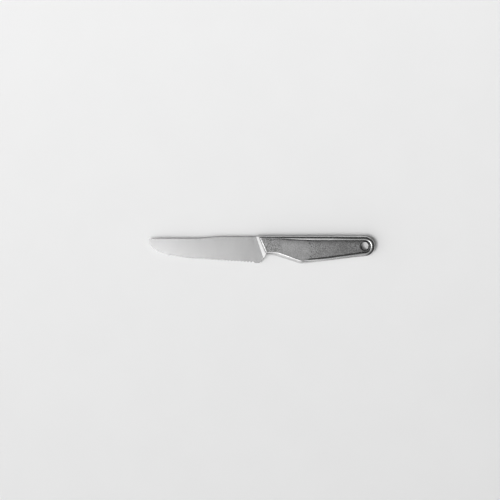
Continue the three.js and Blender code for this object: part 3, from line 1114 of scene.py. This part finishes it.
@dataclass
class Blade(Piece):
    """Ground blade with its serrated edge and the tang inside the handle."""

    sharp_angle: float = math.radians(4.0)
    tooth_pitch: float = 3.54
    tooth_steps: int = 10
    scallop_depth: float = 1.45
    scallop_bevel: float = math.radians(20.0)
    near_bevel: float = 0.28
    near_apex: float = 0.62
    tooth_recess: float = 0.05
    recess_run: float = 28.0
    heel_plain: float = 5.4
    heel_fade: float = 0.8
    tip_plain: float = 26.0
    tip_fade: float = 5.0
    square_edge: Grind = Grind(0.0, 0.05, 0.05, 0.0)
    heel_edge: Grind = Grind(0.0, 0.3, 0.6, 0.3)
    plain_edge: Grind = Grind(0.0, 0.05, 0.8, 1.0)
    corner_gap: float = 0.02
    root_sections: int = 4
    heel_sections: int = 5
    plain_sections: int = 40
    nose_sections: int = 14
    fan_run: float = 12.0
    fan_spine: tuple[float, float, float] = (9.5, 3.0, 2.1)
    bevel_room: float = 0.4
    spine_round: float = 0.12
    face_shares: tuple[float, ...] = (0.0, 0.33, 0.67)
    shoulder: float = 2.2
    tang_half: float = 1.0
    tang_top: float = -5.4
    tang_low: float = -15.3
    tang_reach: float = 88.0
    tang_stations: tuple[float, ...] = (1.0, 0.6, 0.3)
    tang_shares: tuple[float, ...] = (0.0, 0.02, 0.04, 0.33, 0.67, 1.0)

    def __post_init__(self) -> None:
        """Draws the lower outline from the bolster round the heel and the edge to the spine."""
        outline = self.profile.blade
        low = self.profile.heel_height(self.shoulder)
        root = Vector((self.profile.slant_x(self.shoulder, low), low))
        edge = outline.edge()
        self.track = Track([root, *edge, *outline.nose()])
        self.heel_way = self.track.marks[1]
        self.tip_way = self.track.marks[len(edge)]
        self.end_way = self.track.marks[-1]
        free = self.tip_way - self.heel_way - self.heel_plain - self.tip_plain
        self.teeth = math.floor(free / self.tooth_pitch)
        self.first_tooth = self.heel_way + self.heel_plain
        self.last_tooth = self.first_tooth + self.teeth * self.tooth_pitch

    def ways(self) -> list[float]:
        """Where the blade has a section, close on both sides of the heel corner.

        Returns:
            Ways along the outline, in order.
        """
        before, after = self.heel_way - self.corner_gap, self.heel_way + self.corner_gap
        marks = steps(0.0, before, self.root_sections) + [before]
        marks += steps(after, self.first_tooth, self.heel_sections)
        marks += steps(self.first_tooth, self.last_tooth, self.teeth * self.tooth_steps)
        marks += steps(self.last_tooth, self.tip_way, self.plain_sections)
        return marks + steps(self.tip_way, self.end_way, self.nose_sections) + [self.end_way]

    def grind(self, way: float, half: float) -> Grind:
        """Grind at a way along the outline.

        Args:
            way: Way along the outline.
            half: Half thickness of the blade there.

        Returns:
            The grind.
        """
        if way < self.heel_way:
            return self.square_edge
        inside = (way - self.first_tooth) / self.tooth_pitch
        offset = inside - math.floor(inside) - 0.5
        within = self.first_tooth <= way < self.last_tooth
        hollow = self.scallop_depth * (1.0 - 4.0 * offset * offset) if within else 0.0
        hollow += self.tooth_recess * (1.0 - ease(0.0, self.recess_run, way - self.first_tooth))
        far = 2.0 * half / math.tan(self.scallop_bevel)
        tooth = Grind(hollow, self.near_bevel, far, self.near_apex)
        if way < self.first_tooth:
            share = ease(self.first_tooth - self.heel_fade, self.first_tooth, way)
            return self.heel_edge.blend(tooth, share)
        share = ease(self.last_tooth, self.last_tooth + self.tip_fade, way)
        ahead = tooth.blend(self.plain_edge, share)
        return ahead.blend(self.square_edge, ease(self.tip_way, self.end_way, way))

    def spine_point(self, way: float) -> Vector:
        """Point of the spine that faces a way along the outline; round the tip the sections fan out.

        Args:
            way: Way along the outline.

        Returns:
            The point.
        """
        outline = self.profile.blade
        root = self.profile.slant_x(self.shoulder, -outline.spine_step)
        lean = math.tan(self.profile.bolster_lean) * outline.height
        straight = self.heel_way + outline.edge_straight
        fan_ways = (self.tip_way - self.fan_run, self.tip_way, self.end_way)
        keys = (
            (0.0, root),
            (self.heel_way, -lean),
            (straight, -outline.edge_straight),
            *((mark, back - outline.length) for mark, back in zip(fan_ways, self.fan_spine)),
        )
        after = next((i for i, key in enumerate(keys) if key[0] >= way), len(keys) - 1)
        before = max(after - 1, 0)
        gap = keys[after][0] - keys[before][0]
        share = (way - keys[before][0]) / gap if gap else 0.0
        x = mix(keys[before][1], keys[after][1], share)
        return Vector((x, outline.spine(x)))

    def section(self, way: float) -> list[Vector]:
        """Closed section of the blade from its spine to the edge.

        Args:
            way: Way along the outline.

        Returns:
            Points down the left face and up the right one.
        """
        outline = self.profile.blade
        edge = self.track.at(way)
        inward = self.track.inward(way)
        spine = self.spine_point(way)
        grind = self.grind(way, outline.half(edge))
        room = (spine - edge).length * self.bevel_room
        rounding = min(self.spine_round, room / 2)
        apex = edge + inward * min(grind.depth, room)
        ring = [Vector((*apex, grind.apex * outline.half(apex)))]
        for side, bevel in ((1.0, grind.left), (-1.0, grind.right)):
            foot = edge + inward * min(grind.depth + bevel, room)
            down = (foot - spine).normalized()
            face = []
            for turn in (0.0, QUARTER / 2):
                point = spine + down * (rounding * (1.0 - math.cos(turn)))
                face.append((point, outline.half(point) - rounding * (1.0 - math.sin(turn))))
            for share in (*self.face_shares, 1.0):
                point = (spine + down * rounding).lerp(foot, share)
                face.append((point, outline.half(point)))
            points = [Vector((*point, side * half)) for point, half in face]
            ring = points + ring if side > 0.0 else ring + points[::-1]
        return ring

    def tang_section(self, x_top: float, x_low: float) -> list[Vector]:
        """Section of the tang, with as many points as the blade's sections.

        Args:
            x_top: x at its upper end.
            x_low: x at its lower end.

        Returns:
            Points down the left face and up the right one.
        """
        top = Vector((x_top, self.tang_top, 0.0))
        low = Vector((x_low, self.tang_low, 0.0))
        out = Vector((0.0, 0.0, self.tang_half))
        left = [top.lerp(low, share) + out for share in self.tang_shares]
        right = [top.lerp(low, share) - out for share in reversed(self.tang_shares)]
        return [*left, low, *right]

    def build(self) -> None:
        """Models, dresses and places the blade."""
        ends = [self.tang_reach * share for share in self.tang_stations]
        sections = [self.tang_section(x, x) for x in ends]
        slant = [self.profile.slant_x(self.shoulder, y) for y in (self.tang_top, self.tang_low)]
        sections.append(self.tang_section(*slant))
        sections += [self.section(way) for way in self.ways()]
        self.place("ground_blade", loft(sections), BLADE_STEEL, "blade", "blade_steel")


@dataclass
class Bolster(Piece):
    """Polished bolster that rises from the blade in a hollow ramp."""

    ramp: float = 3.27
    ramp_lean: float = 0.72
    ramp_power: float = 5.0
    ramp_steps: int = 24
    crest_steps: int = 4
    corner_start: float = 1.4
    cover: float = 0.04
    top_run: float = 0.9
    thin_round: float = 0.3
    thin_share: float = 0.6
    full_share: float = 0.9
    edge_break: float = 0.09
    break_share: float = 0.3
    round_steps: int = 8
    face_steps: int = 8

    def rise(self, behind: float) -> float:
        """Share of the full thickness that the ramp has reached behind the front line."""
        share = min(1.0, behind / self.ramp)
        return mix(share**self.ramp_power, share, self.ramp_lean)

    def half(self, behind: float, y: float) -> float:
        """Half thickness on a line behind the front line.

        Args:
            behind: Distance behind the front line.
            y: Height on the line.

        Returns:
            Half the thickness there.
        """
        x = self.profile.slant_x(behind, y)
        thin = self.profile.blade.half(Vector((x, y))) + self.cover
        return mix(thin, self.profile.half(x), self.rise(behind))

    def corner(
        self, rim: RimSection, behind: float, lower: float, end: float, way: float
    ) -> list[tuple[float, float]]:
        """Rounded corner of a section, which grows from the blade's to the rim's.

        Args:
            rim: Section of the rim that the corner runs into.
            behind: Distance behind the front line.
            lower: How much the section is taken in.
            end: Height of the section's outer end.
            way: 1 or -1, for up or down from that end.

        Returns:
            Height and half thickness of each point, from the outer end towards the face.
        """
        grown = ease(self.corner_start, self.profile.bolster_width, behind)
        across = mix(self.thin_round, rim.round_across, grown)
        made = []
        for turn in sweep(QUARTER, self.round_steps):
            y = end + way * across * (1.0 - math.cos(turn))
            full = self.half(behind, y) - lower
            thin = min(self.thin_round, full * self.thin_share)
            down = mix(thin, min(rim.round_down, full * self.full_share), grown)
            made.append((y, full - down * (1.0 - math.sin(turn))))
        return made

    def section(self, behind: float, lower: float) -> list[Vector]:
        """Closed section on a line behind the front line.

        Args:
            behind: Distance behind the front line.
            lower: How much the section is taken in, for the broken rear edge.

        Returns:
            Points down the left side and up the right one.
        """
        profile = self.profile
        spine = self.cover - profile.blade.spine_step
        top = mix(spine, -profile.trim, ease(0.0, self.top_run, behind)) - lower
        low = profile.lower_edge(behind) + lower
        upper = self.corner(profile.spine_front, behind, lower, top, -1.0)
        under = self.corner(profile.belly_front, behind, lower, low, 1.0)[::-1]
        heights = steps(upper[-1][0], under[0][0], self.face_steps)[1:]
        middle = [(y, self.half(behind, y) - lower) for y in heights]
        left = [Vector((profile.slant_x(behind, y), y, z)) for y, z in upper + middle + under]
        right = [Vector((point.x, point.y, -point.z)) for point in reversed(left)]
        return left + right

    def build(self) -> None:
        """Models, dresses and places the bolster."""
        width = self.profile.bolster_width
        crest_end = width - self.edge_break
        broken = self.edge_break * self.break_share
        ways = steps(0.0, self.ramp, self.ramp_steps)
        ways += steps(self.ramp, crest_end, self.crest_steps) + [crest_end]
        marks = [(behind, 0.0) for behind in ways]
        marks += [(width - broken, broken), (width, self.edge_break)]
        bm = loft([self.section(behind, lower) for behind, lower in marks])
        self.place("polished_bolster", bm, RIM_STEEL, "bolster", "polished_steel")


@dataclass
class HandleFrame(Piece):
    """Polished rim that runs from the bolster along the spine, round the butt and back."""

    round_steps: int = 10
    lip_steps: int = 5
    wall_foot: float = 2.0
    least_wall: float = 0.1
    waver: Ripple = Ripple(0.03, 2.2, 3.7)

    def ring(self, station: RimStation) -> list[Vector]:
        """Closed section of the rim at a station.

        Args:
            station: Place along the rim.

        Returns:
            Points over the upper half and back under the lower half.
        """
        section = station.section
        half = self.profile.half(station.at.x)
        lip = section.lip
        width = section.width + self.waver.at(station.at)
        across = section.round_across
        down = min(section.round_down, half - self.least_wall)
        last = math.acos(max(0.0, 1.0 - (width - lip) / across))
        upper = []
        for turn in sweep(last, self.round_steps):
            upper.append((across * (1.0 - math.cos(turn)), half - down * (1.0 - math.sin(turn))))
        crest = upper[-1][1]
        for turn in sweep(QUARTER, self.lip_steps):
            upper.append((width - lip + lip * math.sin(turn), crest - lip * (1.0 - math.cos(turn))))
        upper.append((width, self.wall_foot))
        lower = [(inset, -z) for inset, z in reversed(upper)]
        return [Vector((*station.inside(inset), z)) for inset, z in upper + lower]

    def build(self) -> None:
        """Models, dresses and places the rim."""
        bm = loft([self.ring(station) for station in self.profile.rim()])
        self.place("polished_rim", bm, RIM_STEEL, "handle_frame", "polished_steel")


class Side(Enum):
    """Side of the handle that a panel is on."""

    LEFT = 1
    RIGHT = -1


class Gaps(NamedTuple):
    """Distances from a place on a panel to its borders."""

    front: float
    lower: float
    upper: float


@dataclass
class ForgedPanel(Piece):
    """Rough forged face inside the rim, on one side of the handle."""

    side: Side = Side.LEFT
    seed_step: float = 10.0
    columns: int = 320
    rows: int = 56
    butt_crowding: float = 1.25
    border_crowding: float = 0.7
    lean_run: float = 26.0
    front_gap: float = 0.1
    fit: float = 0.02
    floor: float = 1.2
    hole_radius: float = 5.35
    hole_snap: float = 1.0
    swell: Ripple = Ripple(0.05, 9.0, 0.0)
    grit: Ripple = Ripple(0.02, 0.6, 2.0)
    pits: Ripple = Ripple(1.0, 1.3, 1.0)
    pit_start: float = 0.15
    pit_depth: float = 0.16
    smooth_pits: float = 0.35
    coarse_fade: tuple[float, float] = (14.0, 24.0)
    brink_edge: Ripple = Ripple(0.3, 0.9, 3.0)
    brink_width: float = 0.7
    brink_depth: float = 0.25
    groove_edge: Ripple = Ripple(0.45, 1.5, 3.0)
    groove_floor: float = 0.35
    groove_width: float = 1.1
    groove_depth: float = 0.6
    top_groove_start: tuple[float, float] = (8.0, 30.0)
    low_groove_start: tuple[float, float] = (50.0, 54.0)
    wear_highlight_edge: Ripple = Ripple(0.15, 1.2, 5.0)
    wear_highlight_fade: tuple[float, float] = (0.6, 0.85)
    dashes: Ripple = Ripple(1.0, 1.3, 6.0)
    dash_range: tuple[float, float] = (-0.9, -0.1)

    def __post_init__(self) -> None:
        """Draws the two long borders of the panel from the inside of the rim."""
        inner = [s.inside(s.section.width + self.fit) for s in self.profile.rim()]
        far = max(range(len(inner)), key=lambda index: inner[index].x)
        self.upper = inner[: far + 1]
        self.lower = inner[far:][::-1]
        self.tip_x = inner[far].x
        self.seed = self.seed_step * self.side.value

    @staticmethod
    def height(border: list[Vector], x: float) -> float:
        """Height of a border.

        Args:
            border: Points of the border from the bolster to the butt.
            x: Where along the border.

        Returns:
            y of the border there.
        """
        index = bisect_right(border, x, key=lambda point: point.x)
        index = min(max(index, 1), len(border) - 1)
        before, after = border[index - 1], border[index]
        share = (x - before.x) / (after.x - before.x)
        return mix(before.y, after.y, min(1.0, max(0.0, share)))

    def spot(self, along: float, aside: float) -> tuple[Vector, Gaps]:
        """Point of the panel for a place on its grid, and how far it lies from the borders.

        Args:
            along: Share of the way from the bolster to the butt.
            aside: Share of the way from the lower border to the upper one.

        Returns:
            The point and its distances to the borders.
        """
        profile = self.profile
        behind = profile.bolster_width + self.front_gap
        middle = (profile.spine_front.width + profile.notch_depth) / -2
        front = profile.slant_x(behind, middle)
        column = mix(front, self.tip_x - self.fit, 1.0 - (1.0 - along) ** self.butt_crowding)
        lean = profile.lean(behind) * (1.0 - ease(front, front + self.lean_run, column))
        ends = []
        for border in (self.lower, self.upper):
            y = self.height(border, column)
            ends.append(self.height(border, column - lean * (y - middle)))
        y = mix(*ends, aside)
        point = Vector((column - lean * (y - middle), y))
        return point, Gaps(point.x - profile.slant_x(behind, y), y - ends[0], ends[1] - y)

    def surface(self, point: Vector, gaps: Gaps) -> float:
        """Height of the forged face.

        Args:
            point: Place on the panel.
            gaps: Its distances to the borders.

        Returns:
            The height over the middle plane.
        """
        coarse = 1.0 - ease(*self.coarse_fade, point.x)
        pits = max(0.0, self.pits.at(point, self.seed) - self.pit_start)
        pits *= mix(self.smooth_pits, 1.0, coarse) * self.pit_depth
        relief = self.swell.at(point, self.seed) - pits + self.grit.at(point, self.seed)
        from_front = gaps.front + self.brink_edge.at(point, self.seed)
        brink = (1.0 - ease(0.0, self.brink_width, from_front)) * self.brink_depth
        sunk = self.groove(point, gaps) * self.groove_depth
        return self.profile.panel(point.x) + relief - sunk - brink

    def groove(self, point: Vector, gaps: Gaps) -> float:
        """Share of the groove along the spine and, behind the palm, along the lower rim, which sinks
        the face and also sets its painted shade.

        Args:
            point: Place on the panel.
            gaps: Its distances to the borders.

        Returns:
            The share from 0 to 1.
        """
        ragged = self.groove_edge.at(point, self.seed)
        shares = []
        for gap, start in ((gaps.lower, self.low_groove_start), (gaps.upper, self.top_groove_start)):
            deep = 1.0 - ease(self.groove_floor, self.groove_width, gap + ragged)
            shares.append(ease(*start, point.x) * deep)
        return max(shares)

    def wear_and_highlight(self, point: Vector, from_front: float) -> float:
        """Share of bright worn steel, with a painted highlight, on the broken line along the bolster.

        Args:
            point: Place on the panel.
            from_front: Distance to the front border.

        Returns:
            The share from 0 to 1.
        """
        ragged = self.wear_highlight_edge.at(point, self.seed)
        dashes = ease(*self.dash_range, self.dashes.at(point, self.seed))
        return dashes * (1.0 - ease(*self.wear_highlight_fade, from_front + ragged))

    def face(self) -> bmesh.types.BMesh:
        """Forged face, with its worn places that carry a painted highlight, and the painted shade of
        its grooves.

        Returns:
            The new mesh, a grid that is bent into the rim.
        """
        bm = bmesh.new()
        bmesh.ops.create_grid(bm, x_segments=self.columns, y_segments=self.rows, size=1.0)
        worn_highlight = bm.verts.layers.float.new("worn_highlight")
        groove_shade = bm.verts.layers.float.new("groove_shade")
        for vert in bm.verts:
            even = (vert.co.y + 1.0) / 2
            aside = mix(even, ease(0.0, 1.0, even), self.border_crowding)
            point, gaps = self.spot((vert.co.x + 1.0) / 2, aside)
            vert.co = Vector((*point, self.surface(point, gaps)))
            # worn steel along the bolster, with a painted highlight
            vert[worn_highlight] = self.wear_and_highlight(point, gaps.front)
            # painted shade in the grooves along the rim
            vert[groove_shade] = self.groove(point, gaps)
        return bm

    def drill(self, bm: bmesh.types.BMesh) -> None:
        """Opens the hanging hole.

        Args:
            bm: The face, still without walls.
        """
        hole = self.profile.butt
        inside = [f for f in bm.faces if (f.calc_center_median().xy - hole).length < self.hole_radius]
        bmesh.ops.delete(bm, geom=inside, context="FACES")
        for vert in bm.verts:
            away = vert.co.xy - hole
            if vert.is_boundary and away.length < self.hole_radius + self.hole_snap:
                vert.co.xy = hole + away.normalized() * self.hole_radius

    def build(self) -> None:
        """Models, dresses and places the panel."""
        bm = self.face()
        self.drill(bm)
        walls = bmesh.ops.extrude_face_region(bm, geom=bm.faces[:], use_keep_orig=True)["geom"]
        for item in walls:
            if isinstance(item, bmesh.types.BMVert):
                item.co.z = self.floor
        if self.side is Side.RIGHT:
            bmesh.ops.scale(bm, vec=(1.0, 1.0, -1.0), verts=bm.verts[:])
        name = self.side.name.lower()
        self.place(f"{name}_forged_panel", bm, PANEL_STEEL, f"{name}_panel", "raw_steel")


@dataclass
class HangingBush(Piece):
    """Short round lining of the hanging hole, with a softened lip at both ends, painted near black as
    shade.
    """

    hole_radius: float = 4.6
    outer_radius: float = 5.33
    lip: float = 0.25
    lip_steps: int = 5
    sides: int = 72

    def build(self) -> None:
        """Models, dresses and places the bush."""
        hole = self.profile.butt
        half = self.profile.panel(hole.x)
        upper = [(self.outer_radius, half - self.lip / 2)]
        for turn in sweep(QUARTER, self.lip_steps):
            inset = self.lip * (1.0 - math.sin(turn))
            upper.append((self.hole_radius + inset, half - self.lip * (1.0 - math.cos(turn))))
        profile = upper + [(radius, -z) for radius, z in reversed(upper)]
        bm = bmesh.new()
        centre = Vector((*hole, 0.0))
        verts = [bm.verts.new(centre + Vector((radius, 0.0, z))) for radius, z in profile]
        edges = [bm.edges.new(pair) for pair in zip(verts, verts[1:] + verts[:1])]
        bmesh.ops.spin(
            bm, geom=verts + edges, cent=centre, axis=(0.0, 0.0, 1.0), dvec=(0.0, 0.0, 0.0),
            angle=math.tau, steps=self.sides, use_merge=True, use_duplicate=False,
        )
        self.place("hole_lining", bm, HOLE_SHADE_STEEL, "hanging_bush", "raw_steel")


@dataclass
class TangPins:
    """Pins that hold the tang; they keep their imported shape."""

    nodes: tuple[str, ...] = ("front_tang_pin", "middle_tang_pin", "rear_tang_pin")

    def dress(self) -> None:
        """Gives each pin its finish."""
        for name in self.nodes:
            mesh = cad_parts[name].data
            mesh.materials.clear()
            mesh.materials.append(PIN_STEEL.material())
            LOG.info("%s: dressed", name)


# Studio


@dataclass(frozen=True)
class Lamp:
    """Soft lamp in the sky: its level, and its place and spread as slopes.

    A slope is the run along x or y for each unit that a direction rises.
    """

    level: float
    at: tuple[float, float]
    spread: tuple[float, float]

    def light(self, sketch: Sketch, slopes: Sequence[Socket]) -> Socket:
        """Light that the lamp sends from a direction.

        Args:
            sketch: The world's nodes.
            slopes: Slopes of the direction along x and y.

        Returns:
            The level of the light.
        """
        offsets = []
        for slope, middle, spread in zip(slopes, self.at, self.spread):
            offsets.append(sketch.math("DIVIDE", sketch.math("SUBTRACT", slope, middle), spread))
        return sketch.math("MULTIPLY", sketch.bell(offsets), self.level)


@dataclass
class Studio:
    """Pale floor, soft light and the camera over the knife."""

    picture_mm: float = 540.0
    view_height: float = 1.2
    focus_height: float = 0.006
    view_x: float = -0.01272
    view_y: float = -0.00011
    sensor: float = 36.0
    floor_size: float = 6.0
    floor_drop: float = 0.0001
    floor_tone: float = 0.83
    floor_roughness: float = 0.9
    floor_shine: float = 0.1
    # painted fall of light over the floor, as tone per mm along x and y
    painted_light_fall_x: float = -9.5e-5
    painted_light_fall_y: float = 2.0e-4
    patch_size: float = 60.0
    patch_change: float = 0.005
    sky_level: float = 0.06
    least_rise: float = 0.05
    key: Lamp = Lamp(18.5, (-0.42, -0.24), (0.14, 0.18))
    fill: Lamp = Lamp(1.2, (0.1, -0.7), (0.15, 0.16))
    glow: Lamp = Lamp(0.6, (0.0, 0.0), (0.16, 0.16))
    card_level: float = 1.32
    card_way: float = math.radians(-145.0)
    card_spread: float = 0.6
    card_rise: tuple[float, float] = (0.1, 0.65)
    card_foot: tuple[float, float] = (0.7, 1.0)
    card_low: float = 0.97

    def floor(self) -> None:
        """Lays the floor just under the knife."""
        bm = bmesh.new()
        bmesh.ops.create_grid(bm, x_segments=1, y_segments=1, size=self.floor_size / 2)
        bmesh.ops.translate(bm, vec=(0.0, 0.0, -self.floor_drop), verts=bm.verts[:])
        mesh = bpy.data.meshes.new("pale_floor")
        bm.to_mesh(mesh)
        bm.free()
        mesh.materials.append(self.floor_material())
        floor = bpy.data.objects.new("pale_floor", mesh)
        bpy.context.scene.collection.objects.link(floor)

    def floor_material(self) -> bpy.types.Material:
        """Matt pale paint, with a painted fall of light: a little darker to the right and lighter to
        the top.

        Returns:
            The new material.
        """
        material = bpy.data.materials.new("pale_floor")
        material.use_nodes = True
        sketch = Sketch(material.node_tree)
        shader = material.node_tree.nodes["Principled BSDF"]
        shader.inputs["Roughness"].default_value = self.floor_roughness
        shader.inputs["Specular IOR Level"].default_value = self.floor_shine
        place = sketch.position()
        change = self.floor_tone * self.patch_change
        cloud = sketch.cloud(place, self.patch_size)
        tone = sketch.span(cloud, *CLOUD_RANGE, self.floor_tone - change, self.floor_tone + change)
        axes = sketch.axes(place)
        # painted fall of light: the tone changes along x and y
        for axis, fall in (("X", self.painted_light_fall_x), ("Y", self.painted_light_fall_y)):
            tone = sketch.math("ADD", tone, sketch.math("MULTIPLY", axes[axis], fall))
        material.node_tree.links.new(tone, shader.inputs["Base Color"])
        return material

    def card(self, sketch: Sketch, axes: bpy.types.NodeOutputs) -> Socket:
        """Light from a pale card that stands low on the left.

        Args:
            sketch: The world's nodes.
            axes: Outputs X, Y and Z of the direction.

        Returns:
            The level of the light.
        """
        to_card = heading(self.card_way)
        turned = []
        for way in (to_card, Vector((-to_card.y, to_card.x))):
            parts = [sketch.math("MULTIPLY", axes[axis], part) for axis, part in zip("XY", way)]
            turned.append(sketch.math("ADD", *parts))
        ahead, aside = turned
        card = sketch.span(ahead, *self.card_rise, 0.0, self.card_level)
        card = sketch.math("MULTIPLY", card, sketch.span(ahead, *self.card_foot, 1.0, self.card_low))
        return sketch.math(
            "MULTIPLY", card, sketch.bell([sketch.math("DIVIDE", aside, self.card_spread)])
        )

    def lights(self) -> None:
        """Sets the studio round the knife: three soft lamps, a pale card to the left and a dim rest."""
        world = bpy.data.worlds.new("soft_sky")
        world.use_nodes = True
        sketch = Sketch(world.node_tree)
        axes = sketch.axes(sketch.add("ShaderNodeTexCoord", {}).outputs["Generated"])
        above = sketch.math("MAXIMUM", axes["Z"], self.least_rise)
        slopes = [sketch.math("DIVIDE", axes[axis], above) for axis in "XY"]
        level = sketch.math("ADD", self.card(sketch, axes), self.sky_level)
        for lamp in (self.key, self.fill, self.glow):
            level = sketch.math("ADD", lamp.light(sketch, slopes), level)
        world.node_tree.links.new(level, world.node_tree.nodes["Background"].inputs["Color"])
        bpy.context.scene.world = world

    def camera(self) -> None:
        """Sets the camera straight over the knife."""
        data = bpy.data.cameras.new("overhead")
        data.sensor_width = self.sensor
        data.lens = self.sensor * self.view_height / (self.picture_mm * MM)
        camera = bpy.data.objects.new("overhead", data)
        camera.location = (self.view_x, self.view_y, self.focus_height + self.view_height)
        bpy.context.scene.collection.objects.link(camera)
        bpy.context.scene.camera = camera

    def build(self) -> None:
        """Sets up the whole studio."""
        self.floor()
        self.lights()
        self.camera()
        bpy.context.scene.view_settings.view_transform = "Standard"
        LOG.info("studio: floor, light and camera")


def main() -> None:
    """Builds the knife piece by piece and sets up the studio."""
    logging.basicConfig(level=logging.INFO, format="%(message)s")
    space = KnifeSpace().matrix()
    profile = HandleProfile(BladeProfile())
    Blade(space, profile).build()
    Bolster(space, profile).build()
    HandleFrame(space, profile).build()
    for side in Side:
        ForgedPanel(space, profile, side=side).build()
    HangingBush(space, profile).build()
    TangPins().dress()
    Studio().build()


if __name__ == "__main__":
    main()
